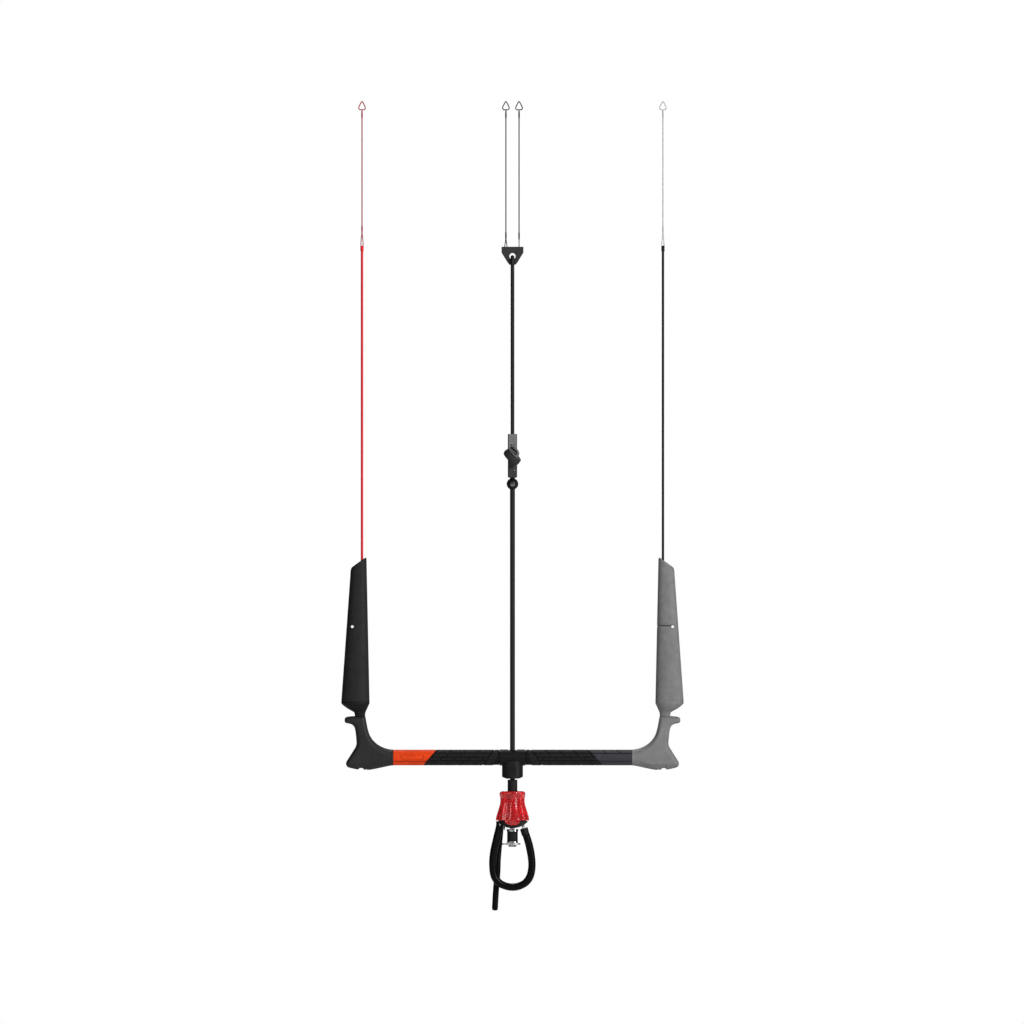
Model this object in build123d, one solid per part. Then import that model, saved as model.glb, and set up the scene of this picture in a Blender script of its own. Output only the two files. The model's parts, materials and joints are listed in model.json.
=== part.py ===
"""Kitesurf control bar: quick release and chicken loop, throw line with trim cleat, steering bar with floats.

Millimetres, +Z up along the throw line, +X along the bar, +Y away from the rider's side.
The origin is the seat of the harness hook: the lowest point of the inside of the chicken loop.
"""
from build123d import *
from math import asin, cos, degrees, radians, sin
import os

os.makedirs("parts", exist_ok=True)

# Driving sizes
LINE_SPACING = 508.0          # between the steering lines: a 20 inch bar
BAR_Z = 211.8                 # height of the bar's axis above the hook seat
BAR_TILT = 12.0               # how far the bar tilts on the throw line, each way, in degrees
GRIP_RADIUS = 13.25
BAR_TUBE_RADIUS = 10.5
GRIP_END_X = 201.7            # where the grips meet the bar ends
LOOP_TUBE_RADIUS = 6.8
LOOP_HALF_WIDTH = 32.6        # centreline of the loop tube at its widest
LINE_RADIUS = 1.0             # flying lines
LEADER_RADIUS = 2.1
THROW_LINE_RADIUS = 4.2
TRIM_ROPE_RADIUS = 3.2
TRIM_ROPE_OFFSET = 6.6        # front and back strands of the trim rope, each side of the axis
LINE_TOP_Z = 1306.0           # where the modelled stretch of the flying lines ends
SPLICE_Z = 1074.0             # where leaders and plate hand over to the flying lines
RUNNING = 0.08                # radial clearance of a running fit
GAP = 0.3                     # clearance between pieces that move past each other

# Quick release heights
SHAFT_RADIUS = 4.0
SPINDLE_RADIUS = 8.25
SPINDLE_TOP_Z = 174.4
BASE_LOW_Z = 92.5
BASE_TOP_Z = 104.3
CORE_NECK_Z = 112.0
CORE_TOP_Z = 146.0
CORE_CAP_Z = 149.0
CORE_RADIUS = 11.8
HANDLE_TOP_Z = 155.0
HANDLE_SKIRT_Z = 105.3
HANDLE_WALL = 2.5
LEDGE_Z = 120.0
STICK_PIVOT = (-20.0, 13.4, 93.0)
STICK_RADIUS = 5.3

# Throw line and trim heights
BALL_Z = 673.5
BALL_RADIUS = 9.8
CLEAT_LOW_Z = 684.0
CLEAT_STEP_Z = 731.0
CLEAT_TOP_Z = 758.0
KEEPER_LOW_Z = 736.0          # the head's front wall keeps the rope in from here up
CLEAT_HALF_WIDTH = 7.9
CLEAT_FRONT_Y = -13.0
CLEAT_BACK_Y = 11.0
PLATE_HOLE_Z = 1058.0
PLATE_HOLE_RADIUS = 5.2
ROPE_BEND_Z = 1050.0

# Floats
FLOAT_PIVOT = (258.0, 0.0, 279.5)
FLOAT_LOW_Z = 304.0
FLOAT_TOP_Z = 550.0
LOW = (Align.CENTER, Align.CENTER, Align.MIN)


def rod(radius, low, high, x=0.0, y=0.0):
    """Upright cylinder."""
    return Pos(x, y, low) * Cylinder(radius, high - low, align=LOW)


def rod_x(radius, low, high, y=0.0, z=0.0):
    return Pos(low, y, z) * Rot(0, 90, 0) * Cylinder(radius, high - low, align=LOW)


def rod_y(radius, low, high, x=0.0, z=0.0):
    return Pos(x, low, z) * Rot(-90, 0, 0) * Cylinder(radius, high - low, align=LOW)


def ring(outer, inner, low, high):
    return rod(outer, low, high) - rod(inner, low, high)


def block(x0, x1, y0, y1, z0, z1):
    return Pos((x0 + x1) / 2, (y0 + y1) / 2, (z0 + z1) / 2) * Box(x1 - x0, y1 - y0, z1 - z0)


def oval(rx, ry, low, high, x=0.0):
    return extrude(Pos(x, 0, low) * Ellipse(rx, ry), high - low)


def oval_loft(sections):
    """Solid through level ovals, each given as height, centre x, half width and half depth."""
    return loft([Pos(x, 0, z) * Ellipse(rx, ry) for z, x, rx, ry in sections])


def prism_y(outline, y0, y1):
    """Closed X-Z outline pushed through from y0 to y1."""
    face = make_face(Plane.XZ * outline)
    return Pos(0, y1, 0) * extrude(face, y1 - y0, dir=(0, -1, 0))


def both(shape):
    """The left piece and its mirror image on the right."""
    return shape, mirror(shape, about=Plane.YZ)


def mirrored_y(shape):
    """The front piece and its mirror image at the back."""
    return shape, mirror(shape, about=Plane.XZ)


def save(node, shape):
    export_step(shape, f"parts/{node}.step")


# ---------------------------------------------------------------- chicken loop

LOOP_CENTRE_Z = LOOP_HALF_WIDTH - LOOP_TUBE_RADIUS
LOOP_JOINT_Z = -LOOP_TUBE_RADIUS


def arm_arc(side, top_x, top_z):
    """Arc from the top of one arm down to the widest point of the loop, as centre x, radius and angle."""
    inward = LOOP_HALF_WIDTH - top_x
    rise = top_z - LOOP_CENTRE_Z
    radius = (inward ** 2 + rise ** 2) / (2 * inward)
    return side * (LOOP_HALF_WIDTH - radius), radius, degrees(asin(rise / radius))


def tube_along(edges, radius):
    path = Plane.XZ * Wire(edges)
    return sweep(Plane(origin=path @ 0, z_dir=path % 0) * Circle(radius), path=path)


def loop_fixed_half():
    centre_x, radius, angle = arm_arc(-1, 20.5, 101.0)
    cut_back = degrees(asin(5.6 / LOOP_HALF_WIDTH))
    arm = CenterArc((centre_x, LOOP_CENTRE_Z), radius, 180 - angle, angle)
    bend = CenterArc((0, LOOP_CENTRE_Z), LOOP_HALF_WIDTH, 180, 90 - cut_back)
    tube = tube_along([arm, bend], LOOP_TUBE_RADIUS)
    return tube - Pos(0, 0, LOOP_JOINT_Z) * Sphere(LOOP_TUBE_RADIUS + GAP)


def loop_opening_half():
    centre_x, radius, angle = arm_arc(1, 19.0, 91.0)
    bend = CenterArc((0, LOOP_CENTRE_Z), LOOP_HALF_WIDTH, 270, 90)
    arm = CenterArc((centre_x, LOOP_CENTRE_Z), radius, 0, angle)
    tube = tube_along([bend, arm], LOOP_TUBE_RADIUS)
    tube += Pos(0, 0, LOOP_JOINT_Z) * Sphere(LOOP_TUBE_RADIUS)
    return tube - loop_pin()


def loop_pin():
    """Steel pin in the end of the opening half; it stands up into the slot of the release base."""
    foot = Vector(20.6, 0, 84.0)
    tip = Vector(16.4, 0, 102.6)
    lean = Plane(origin=foot, z_dir=tip - foot)
    length = (tip - foot).length
    collar_low = (Vector(19.0, 0, 91.2) - foot).length
    shank = lean * Cylinder(2.6, length, align=LOW)
    collar = lean * Pos(0, 0, collar_low) * Cylinder(4.6, 1.6, align=LOW)
    return shank + collar


def anchor_pin():
    return rod_y(2.0, -10.5, 7.6, x=-20.8, z=99.0)


# ---------------------------------------------------------------- quick release

def release_base():
    bowl_radius = 36.4
    base = oval(28.0, 16.5, BASE_LOW_Z, BASE_TOP_Z)
    base &= rod_y(bowl_radius, -20, 20, z=BASE_LOW_Z + bowl_radius)
    base -= rod(SHAFT_RADIUS + RUNNING, BASE_LOW_Z - 1, BASE_TOP_Z + 1)
    base -= block(11.5, 30, -3.6, 3.6, BASE_LOW_Z - 1, 103.4)
    base -= Pos(*STICK_PIVOT) * Sphere(STICK_RADIUS + 0.6)
    for screw in release_screws().solids():
        base -= screw
    base -= anchor_pin()
    return base - loop_fixed_half()


def release_screws():
    """Two countersunk screws, up through the base into the core."""
    screws = []
    for x, y, head_z in ((-9.0, 10.6, 94.6), (9.0, -10.6, 94.6)):
        shank = rod(1.5, head_z, 111.0, x, y)
        head = Pos(x, y, head_z) * Cone(2.7, 1.5, 1.6, align=LOW)
        screws.append(shank + head)
    return Compound(children=screws)


def release_core():
    foot = oval(24.0, 16.0, BASE_TOP_Z, CORE_NECK_Z)
    shoulder = oval_loft([(CORE_NECK_Z, 0, 24.0, 16.0), (116.5, 0, 17.0, 14.0)])
    core = foot + shoulder + rod(CORE_RADIUS, CORE_NECK_Z, CORE_TOP_Z)
    core -= rod(SPINDLE_RADIUS + RUNNING, BASE_TOP_Z, CORE_TOP_Z)
    core -= rod(10.5, BASE_TOP_Z, 109.3)
    for screw in release_screws().solids():
        core -= screw
    return core


def core_cap():
    return ring(14.5, SPINDLE_RADIUS + RUNNING, CORE_TOP_Z, CORE_CAP_Z)


def thrust_balls():
    count = 20
    balls = [Rot(0, 0, 360 * i / count) * Pos(9.35, 0, 108.2) * Sphere(1.02) for i in range(count)]
    return Compound(children=balls)


def release_handle():
    """Push-away sleeve: waisted grip, tongues front and back, inner ledge for the spring."""
    profile = [
        (97.0, 27.6, 20.0), (106.0, 28.3, 20.6), (112.0, 27.8, 20.4), (125.0, 23.6, 18.8), (136.0, 20.5, 17.8),
        (143.0, 20.3, 17.8), (149.0, 21.8, 18.8), (153.0, 20.6, 18.0), (HANDLE_TOP_Z, 17.2, 14.8),
    ]
    outer = oval_loft([(z, 0, rx, ry) for z, rx, ry in profile])
    hollow = [(z - 0.5, 0, rx - HANDLE_WALL, ry - HANDLE_WALL) for z, rx, ry in profile[:-1]]
    sleeve = outer - oval_loft(hollow)
    sleeve += oval(24.0, 17.6, LEDGE_Z - 2.5, LEDGE_Z) - rod(CORE_RADIUS + 0.4, LEDGE_Z - 3, LEDGE_Z + 1)
    tongue = extrude(Plane.XZ * Pos(0, HANDLE_SKIRT_Z) * Ellipse(11.5, 8.3), 30, both=True)
    sleeve -= block(-30, 30, -25, 25, 90, HANDLE_SKIRT_Z) - tongue
    return sleeve - rod(SPINDLE_RADIUS + 0.6, 145, HANDLE_TOP_Z + 1)


def handle_spring():
    wire_radius = 0.6
    mean_radius = 13.0
    low = LEDGE_Z + wire_radius
    height = CORE_TOP_Z - wire_radius - low
    path = Pos(0, 0, low) * Helix(pitch=height / 5, height=height, radius=mean_radius)
    return sweep(Plane(origin=path @ 0, z_dir=path % 0) * Circle(wire_radius), path=path)


def stick_bracket():
    bridge = block(-27.6, -13.0, 8.0, 18.7, 99.2, BASE_TOP_Z)
    ears = block(-27.6, -26.1, 9.0, 18.0, 89.0, 99.2) + block(-14.5, -13.0, 9.0, 18.0, 89.0, 99.2)
    return bridge + ears - release_base() - stick_pin()


def stick_pin():
    return rod_x(1.5, -28.2, -12.4, STICK_PIVOT[1], STICK_PIVOT[2])


def locking_stick():
    """Stiff tube that hangs behind the loop's left arm and locks the hook in."""
    top = Vector(*STICK_PIVOT)
    tip = Vector(-29.5, STICK_PIVOT[1], -41.6)
    axis = Plane(origin=top, z_dir=tip - top)
    stick = axis * Cylinder(STICK_RADIUS, (tip - top).length, align=LOW)
    stick += Pos(top) * Sphere(STICK_RADIUS)
    stick += Pos(tip) * Sphere(STICK_RADIUS)
    return stick - rod_x(1.5 + RUNNING, -30, -10, STICK_PIVOT[1], STICK_PIVOT[2])


# ---------------------------------------------------------------- swivel

def spindle():
    body = rod(SPINDLE_RADIUS, 104.6, SPINDLE_TOP_Z) + rod(10.2, 104.6, 107.1)
    body = chamfer(body.edges().group_by(Axis.Z)[-1], 0.8)
    return body - rod(THROW_LINE_RADIUS, 111, SPINDLE_TOP_Z + 1) - rod(SHAFT_RADIUS, 104, 111)


def swivel_shaft():
    return ring(SHAFT_RADIUS, 1.6, 60.9, 111.0)


def swivel_barrel():
    """Untwisting knob with grip flutes round it."""
    barrel = ring(9.0, SHAFT_RADIUS, 70.0, 87.0)
    for i in range(16):
        barrel -= Rot(0, 0, 22.5 * i) * rod(0.8, 71.5, 85.5, x=9.3)
    return barrel


def barrel_rims():
    return Compound(children=[ring(9.4, SHAFT_RADIUS, 67.6, 70.0), ring(9.7, SHAFT_RADIUS, 87.0, 91.0)])


def leash_plate():
    """Flat plate that turns under the barrel; the leash clips through its hole."""
    disc = rod(13.5, 64.7, 67.0)
    lobe = rod(6.4, 64.7, 67.0, x=-11.3)
    return disc + lobe - rod(SHAFT_RADIUS + RUNNING, 64, 68) - rod(1.8, 64, 68, x=-12.2)


def swivel_nut():
    nut = extrude(Pos(0, 0, 61.2) * RegularPolygon(6.75, 6), 3.0)
    return nut - rod(SHAFT_RADIUS, 60, 65)


# ---------------------------------------------------------------- throw line and cleat

def throw_line():
    return ring(THROW_LINE_RADIUS, 1.9, 111.0, 705.0)


def safety_line():
    return rod(1.4, 62.0, 700.0)


BALL_SEAT_Y = -8.2            # flat in the ball's front that the screw's head sits on
BALL_SCREW_HEAD = 3.7


def stopper_ball():
    ball = Pos(0, 0, BALL_Z) * Sphere(BALL_RADIUS)
    ball -= rod(THROW_LINE_RADIUS, 650, 700)
    ball -= rod_y(2.2, -12, -THROW_LINE_RADIUS, z=BALL_Z)
    return ball - rod_y(BALL_SCREW_HEAD + 0.15, -12, BALL_SEAT_Y, z=BALL_Z)


def ball_screw():
    shank = rod_y(2.2, BALL_SEAT_Y, -THROW_LINE_RADIUS, z=BALL_Z) - rod(THROW_LINE_RADIUS, 650, 700)
    head = rod_y(BALL_SCREW_HEAD, -10.0, BALL_SEAT_Y, z=BALL_Z)
    head = chamfer(head.edges().group_by(Axis.Y)[0], 0.6)
    socket = extrude(Plane.XZ * Pos(0, BALL_Z) * RegularPolygon(1.7, 6), 12)
    return shank + head - (socket & block(-3, 3, -12, -7.6, BALL_Z - 3, BALL_Z + 3))


def cleat_channel():
    """Way of the running strand: open in front below the keeper, and behind the front wall above it."""
    jaws = block(-3.6, 3.6, CLEAT_FRONT_Y - 1, -2.9, 707.0, KEEPER_LOW_Z)
    throat = block(-3.6, 3.6, -10.2, -2.9, KEEPER_LOW_Z - 1, CLEAT_TOP_Z + 1)
    return jaws + throat


def keeper_marks():
    """Window and arched groove in the keeper's face."""
    window = block(-2.3, -0.6, CLEAT_FRONT_Y - 1, -9.0, 737.0, 740.6)
    slot = Pos(2.3, -11.5, 738.9) * Rot(0, 28, 0) * Box(0.8, 5.0, 4.4)
    arch = rod_y(4.6, CLEAT_FRONT_Y - 1, CLEAT_FRONT_Y + 0.7, z=743.4)
    arch -= rod_y(3.7, CLEAT_FRONT_Y - 2, CLEAT_FRONT_Y + 1, z=743.4)
    return window + slot + (arch & block(-5, 5, -15, -5, 744.6, 750.0))


def cleat_body():
    """Metal rope cleat: an open channel in front for the running strand, a blind hole behind for the fixed one."""
    head = block(-CLEAT_HALF_WIDTH, CLEAT_HALF_WIDTH, CLEAT_FRONT_Y, CLEAT_BACK_Y, CLEAT_STEP_Z, CLEAT_TOP_Z)
    head = chamfer(head.edges().filter_by(Axis.Z), 1.8)
    head = chamfer(head.edges().group_by(Axis.Z)[-1], 0.8)
    stem = block(-6.2, 6.2, -11.0, 9.5, CLEAT_LOW_Z + 2, CLEAT_STEP_Z)
    body = head + stem - cleat_channel() - keeper_marks()
    body -= rod(THROW_LINE_RADIUS, 680, 705)
    body -= rod(TRIM_ROPE_RADIUS, CLEAT_STEP_Z, CLEAT_TOP_Z + 1, y=TRIM_ROPE_OFFSET)
    for screw in cleat_screws().solids():
        body -= screw
    for step in range(6):
        body += block(-3.6, 3.6, -3.3, -2.9, 735.0 + 4 * step, 736.6 + 4 * step)
    return body


def cleat_cover():
    """Moulded boot round the lower half of the cleat."""
    cover = block(-CLEAT_HALF_WIDTH, CLEAT_HALF_WIDTH, CLEAT_FRONT_Y, CLEAT_BACK_Y, CLEAT_LOW_Z, CLEAT_STEP_Z)
    cover = chamfer(cover.edges().filter_by(Axis.Z), 1.6)
    cover = fillet(cover.edges().group_by(Axis.Z)[0], 2.4)
    cover -= block(-6.2, 6.2, -11.0, 9.5, CLEAT_LOW_Z + 2, CLEAT_STEP_Z + 1)
    cover -= rod(THROW_LINE_RADIUS, 680, 700)
    cover -= block(-3.6, 3.6, CLEAT_FRONT_Y - 1, -10.0, 712.0, CLEAT_STEP_Z + 1)
    for screw in cleat_screws().solids():
        cover -= screw
    return cover


def cleat_screws():
    front = rod_y(1.3, CLEAT_FRONT_Y - 0.2, -8.5, x=3.6, z=697)
    back = rod_y(1.3, 7.0, CLEAT_BACK_Y + 0.2, x=-3.6, z=697)
    return Compound(children=[front, back])


def rope_bend(radius):
    """The trim rope's turn through the plate, over the lower edge of its hole."""
    path = Plane.YZ * CenterArc((0, ROPE_BEND_Z), TRIM_ROPE_OFFSET, 0, 180)
    return sweep(Plane(origin=path @ 0, z_dir=path % 0) * Circle(radius), path=path)


def trim_rope():
    rope = rope_bend(TRIM_ROPE_RADIUS)
    for y in (-TRIM_ROPE_OFFSET, TRIM_ROPE_OFFSET):
        rope += rod(TRIM_ROPE_RADIUS, CLEAT_STEP_Z, ROPE_BEND_Z, y=y)
    return rope


def toggle_tail():
    """Stretch of the trim rope from the jaws to the toggle."""
    path = Plane.YZ * Wire([
        Line((-TRIM_ROPE_OFFSET, CLEAT_STEP_Z), (-TRIM_ROPE_OFFSET, 728.0)),
        CenterArc((-TRIM_ROPE_OFFSET - 6, 728.0), 6.0, 0, -90),
    ])
    return sweep(Plane(origin=path @ 0, z_dir=path % 0) * Circle(TRIM_ROPE_RADIUS), path=path)


TOGGLE_CENTRE = (-0.8, -25.6, 719.0)


def trim_toggle():
    """Thick knob set across the rope, its cupped face up to the right."""
    disc = extrude(Ellipse(16.0, 10.4), 7.2, both=True)
    disc = fillet(disc.edges(), 4.0)
    disc -= Pos(0, 0, 7.6) * Cylinder(6.2, 6.0)
    return Pos(*TOGGLE_CENTRE) * Rot(0, 45, 0) * disc


def trim_plate():
    outline = Polyline(
        (-18.5, 1074), (18.5, 1074), (18.5, 1064), (8.5, 1047.5), (5.0, 1043.4),
        (-5.0, 1043.4), (-8.5, 1047.5), (-18.5, 1064), close=True,
    )
    plate = prism_y(outline, -3.2, 3.2)
    plate = fillet(plate.edges().filter_by(Axis.Y), 1.2)
    plate -= rod_y(PLATE_HOLE_RADIUS, -5, 5, z=PLATE_HOLE_Z)
    plate -= rope_bend(TRIM_ROPE_RADIUS + 0.12)
    for x in (-11.1, 11.1):
        plate -= rod(LINE_RADIUS, 1066.0, 1075.0, x=x)
    return plate


def flying_line(x, low):
    """Line under tension, ending in its loop just above the modelled stretch."""
    loop_radius = 6.0
    loop = Plane(origin=(x, 0, LINE_TOP_Z + loop_radius), z_dir=(0, 1, 0)) * Torus(loop_radius, LINE_RADIUS)
    return rod(LINE_RADIUS, low, LINE_TOP_Z, x=x) + loop


# ---------------------------------------------------------------- bar

HUB_HALF = 22.0
HUB_RADIUS = 13.6
INSERT_RADIUS = 8.3
BUSHING_RADIUS = 6.6
FOOT_RADIUS = 37.1            # reach of the collar's foot from the tilt axis
FOOT_Z = 176.0
BORE_SPREAD = sin(radians(BAR_TILT)) / cos(radians(BAR_TILT))


def line_slot():
    """Slot that lets the throw line lean in the hub as the bar tilts, widening away from the tilt axis."""
    mid = THROW_LINE_RADIUS + 0.6
    top = mid + 15.0 * BORE_SPREAD
    foot = mid + 40.0 * BORE_SPREAD
    outline = Polyline(
        (-mid, BAR_Z), (-top, BAR_Z + 15), (top, BAR_Z + 15), (mid, BAR_Z),
        (foot, BAR_Z - 40), (-foot, BAR_Z - 40), close=True,
    )
    return prism_y(outline, -mid, mid)


def hub_bushing():
    """Plain bearing that slides on the throw line; its round outside lets the bar tilt."""
    bushing = Pos(0, 0, BAR_Z) * Sphere(BUSHING_RADIUS)
    bushing &= rod(BUSHING_RADIUS, BAR_Z - 3.5, BAR_Z + 3.5)
    return bushing - rod(THROW_LINE_RADIUS + RUNNING, BAR_Z - 9, BAR_Z + 9)


def hub_insert(low, high):
    insert = rod(INSERT_RADIUS, low, high) & rod_x(HUB_RADIUS, -20, 20, z=BAR_Z)
    insert -= Pos(0, 0, BAR_Z) * Sphere(BUSHING_RADIUS + RUNNING)
    return insert - line_slot()


def hub_cover():
    cover = rod_x(HUB_RADIUS, -HUB_HALF, HUB_HALF, z=BAR_Z)
    cover = chamfer(cover.edges(), 0.4)
    cover -= rod_x(BAR_TUBE_RADIUS, -HUB_HALF, HUB_HALF, z=BAR_Z)
    return cover - rod(INSERT_RADIUS, BAR_Z - 20, BAR_Z + 20)


def hub_collar():
    collar = oval(17.7, 14.4, 179.4, 206.0) - rod_x(HUB_RADIUS, -25, 25, z=BAR_Z)
    collar &= rod(30, 179.4, BAR_Z - 5)
    for panel in mirrored_y(block(-5.4, 5.4, -14.9, -13.5, 181.8, 196.0)):
        collar -= panel
    return collar - line_slot()


def collar_bumper():
    """Rubber foot of the collar; its corners clear the spindle as the bar tilts."""
    bumper = oval(17.2, 14.0, FOOT_Z, 179.4)
    bumper &= rod_y(FOOT_RADIUS, -20, 20, z=BAR_Z)
    return bumper - line_slot()


def bar_tube():
    tube = rod_x(BAR_TUBE_RADIUS, -222, 222, z=BAR_Z) - rod_x(8.8, -222, 222, z=BAR_Z)
    for screw in both(bar_end_screw()):
        tube -= screw
    return tube - rod(INSERT_RADIUS, BAR_Z - 20, BAR_Z + 20)


def grip_tube(x0, x1, radius):
    return rod_x(radius, x0, x1, z=BAR_Z) - rod_x(BAR_TUBE_RADIUS, x0, x1, z=BAR_Z)


def slanted_side(x_top, x_bottom):
    """Everything beyond a plane that leans across the grip, given by x at the grip's top and bottom."""
    reach = 60.0
    lean = (x_top - x_bottom) / (2 * GRIP_RADIUS)
    outline = Polyline(
        (x_top + lean * reach, BAR_Z + GRIP_RADIUS + reach), (x_bottom - lean * reach, BAR_Z - GRIP_RADIUS - reach),
        (-400, BAR_Z - GRIP_RADIUS - reach), (-400, BAR_Z + GRIP_RADIUS + reach), close=True,
    )
    return prism_y(outline, -30, 30)


def grip_and_sleeve(x_top, x_bottom):
    """Left-hand EVA grip and the coloured sleeve beyond it, which meet on a slant."""
    whole = grip_tube(-GRIP_END_X, -HUB_HALF - 0.2, GRIP_RADIUS)
    beyond = slanted_side(x_top, x_bottom)
    return whole - beyond, whole & beyond


def bar_end_outline():
    """Side view of the left bar end: stem, line horn at the outside, foot, and the root inside the grip."""
    x_grip = -GRIP_END_X
    x_root = x_grip + 8
    foot_z = 191.3
    lines = [
        Line((x_root, BAR_Z - GRIP_RADIUS), (x_grip, BAR_Z - GRIP_RADIUS)),
        Line((x_grip, BAR_Z - GRIP_RADIUS), (-235.0, 192.0)),
        Line((-235.0, 192.0), (-243.0, foot_z)),
        ThreePointArc((-243.0, foot_z), (-247.0, 192.6), (-251.0, foot_z)),
        ThreePointArc((-251.0, foot_z), (-255.5, 193.9), (-260.0, foot_z + 0.2)),
        Line((-260.0, foot_z + 0.2), (-276.0, 194.6)),
        ThreePointArc((-276.0, 194.6), (-280.6, 199.0), (-280.0, 205.4)),
        Line((-280.0, 205.4), (-265.4, 228.0)),
        ThreePointArc((-265.4, 228.0), (-263.4, 236.0), (-263.9, 246.0)),
        Line((-263.9, 246.0), (-266.0, 260.0)),
        ThreePointArc((-266.0, 260.0), (-270.0, 266.8), (-276.9, 269.2)),
        Line((-276.9, 269.2), (-281.2, 270.2)),
        ThreePointArc((-281.2, 270.2), (-283.6, 275.0), (-280.6, 279.6)),
        Line((-280.6, 279.6), (-268.0, 281.7)),
        Line((-268.0, 281.7), (-248.4, 281.7)),
        Line((-248.4, 281.7), (-244.6, 261.3)),
        ThreePointArc((-244.6, 261.3), (-231.5, 236.8), (x_grip, BAR_Z + GRIP_RADIUS)),
        Line((x_grip, BAR_Z + GRIP_RADIUS), (x_root, BAR_Z + GRIP_RADIUS)),
        Line((x_root, BAR_Z + GRIP_RADIUS), (x_root, BAR_Z - GRIP_RADIUS)),
    ]
    return Wire(lines)


def bar_end():
    """Left moulded bar end: round at the grip, thinner at the horn, with a ball socket for the float boot."""
    core_half = 5.0
    face = make_face(Plane.XZ * bar_end_outline())
    cheek = Pos(0, -core_half, 0) * extrude(face, GRIP_RADIUS - core_half, dir=(0, -1, 0), taper=22)
    slab = prism_y(bar_end_outline(), -core_half, core_half) + cheek + mirror(cheek, about=Plane.XZ)
    plan = Polyline(
        (-GRIP_END_X, -13.25), (-222, -13.25), (-240, -11.0), (-262, -9.4), (-300, -8.0),
        (-300, 8.0), (-262, 9.4), (-240, 11.0), (-222, 13.25), (-GRIP_END_X, 13.25), close=True,
    )
    body = slab & extrude(Pos(0, 0, 180) * make_face(plan), 120)
    body -= rod_x(BAR_TUBE_RADIUS, -222, -200, z=BAR_Z)
    body -= Pos(-FLOAT_PIVOT[0], 0, FLOAT_PIVOT[2]) * Sphere(6.0 + GAP)
    return body - bar_end_screw()


def bar_end_screw():
    """Screw from the far side that holds the bar end on its tube."""
    return rod_y(2.0, 9.0, 13.4, x=-213, z=BAR_Z) + rod_y(3.4, 12.2, 13.4, x=-213, z=BAR_Z)


# ---------------------------------------------------------------- floats and lines

LEADER_X = -LINE_SPACING / 2


def float_body():
    """Left EVA float: tall tapering oval, cut on a slant at the top, bored for the leader."""
    body = loft([
        Pos(-265.45, 0, FLOAT_LOW_Z) * Ellipse(24.05, 17.0),
        Pos(-258.85, 0, FLOAT_TOP_Z) * Ellipse(12.45, 10.4),
    ])
    slant = Polyline((-290, 520.0), (-272.6, 532.0), (-246.4, FLOAT_TOP_Z), (-240, 556), (-290, 556), close=True)
    body -= prism_y(slant, -30, 30)
    body -= rod_y(2.0, -30, 30, x=-271, z=433)
    return body - rod(LEADER_RADIUS, 300, 560, x=LEADER_X)


def float_boot():
    """Left rubber boot under the float, down to a ball that sits in the bar end."""
    pivot_x, _, pivot_z = FLOAT_PIVOT
    boot = oval_loft([
        (283.9, -pivot_x, 8.5, 7.4), (289.0, -pivot_x - 0.3, 8.8, 7.6),
        (296.5, -263.0, 17.0, 12.6), (FLOAT_LOW_Z, -265.45, 24.05, 17.0),
    ])
    boot += rod(4.5, pivot_z, 284.0, x=-pivot_x)
    boot += Pos(-pivot_x, 0, pivot_z) * Sphere(6.0)
    return boot - rod(LEADER_RADIUS, 287, 305, x=LEADER_X)


def leader_line():
    return rod(LEADER_RADIUS, 287.0, SPLICE_Z, x=LEADER_X)


# ---------------------------------------------------------------- nodes

def save_pair(name, shape):
    left, right = both(shape)
    save(f"{name}_left", left)
    save(f"{name}_right", right)


save("release_base", release_base())
save("release_core", release_core())
save("core_cap", core_cap())
save("release_screws", release_screws())
save("thrust_balls", thrust_balls())
save("release_handle", release_handle())
save("handle_spring", handle_spring())
save("anchor_pin", anchor_pin())
save("loop_tube_fixed", loop_fixed_half() - anchor_pin())
save("loop_tube_opening", loop_opening_half())
save("loop_pin", loop_pin())
save("stick_bracket", stick_bracket())
save("stick_pin", stick_pin())
save("locking_stick", locking_stick())

save("spindle", spindle())
save("swivel_shaft", swivel_shaft())
save("swivel_barrel", swivel_barrel())
save("barrel_rims", barrel_rims())
save("leash_plate", leash_plate())
save("swivel_nut", swivel_nut())

save("throw_line", throw_line())
save("safety_line", safety_line())
save("stopper_ball", stopper_ball())
save("ball_screw", ball_screw())
save("cleat_body", cleat_body())
save("cleat_cover", cleat_cover())
save("cleat_screws", cleat_screws())
save("trim_rope", trim_rope())
save("toggle_tail", toggle_tail())
save("trim_toggle", trim_toggle())
save("trim_plate", trim_plate())
save_pair("front_line", flying_line(-11.1, 1066.0))

save("hub_bushing", hub_bushing())
save("hub_insert_lower", hub_insert(BAR_Z - 20, BAR_Z))
save("hub_insert_upper", hub_insert(BAR_Z, BAR_Z + 20))
save("hub_cover", hub_cover())
save("hub_collar", hub_collar())
save("collar_bumper", collar_bumper())
save("bar_tube", bar_tube())
left_grip, orange_sleeve = grip_and_sleeve(-129.0, -148.0)
right_grip, slate_sleeve = (mirror(shape, about=Plane.YZ) for shape in grip_and_sleeve(-121.0, -143.0))
save("grip_left", left_grip)
save("grip_sleeve_left", orange_sleeve)
save("grip_right", right_grip)
save("grip_sleeve_right", slate_sleeve)
save_pair("bar_end", bar_end())
save("bar_end_screws", Compound(children=list(both(bar_end_screw()))))

save_pair("float_body", float_body())
save_pair("float_boot", float_boot())
save_pair("leader_line", leader_line())
save_pair("steering_line", flying_line(LEADER_X, SPLICE_Z))
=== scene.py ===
"""Looks of the kitesurf control bar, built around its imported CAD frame. Metres, +Z up, +X along the bar."""
import json
import math

import bmesh
import bpy
import numpy as np
from mathutils import Matrix, Vector
from mathutils.geometry import delaunay_2d_cdt


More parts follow.
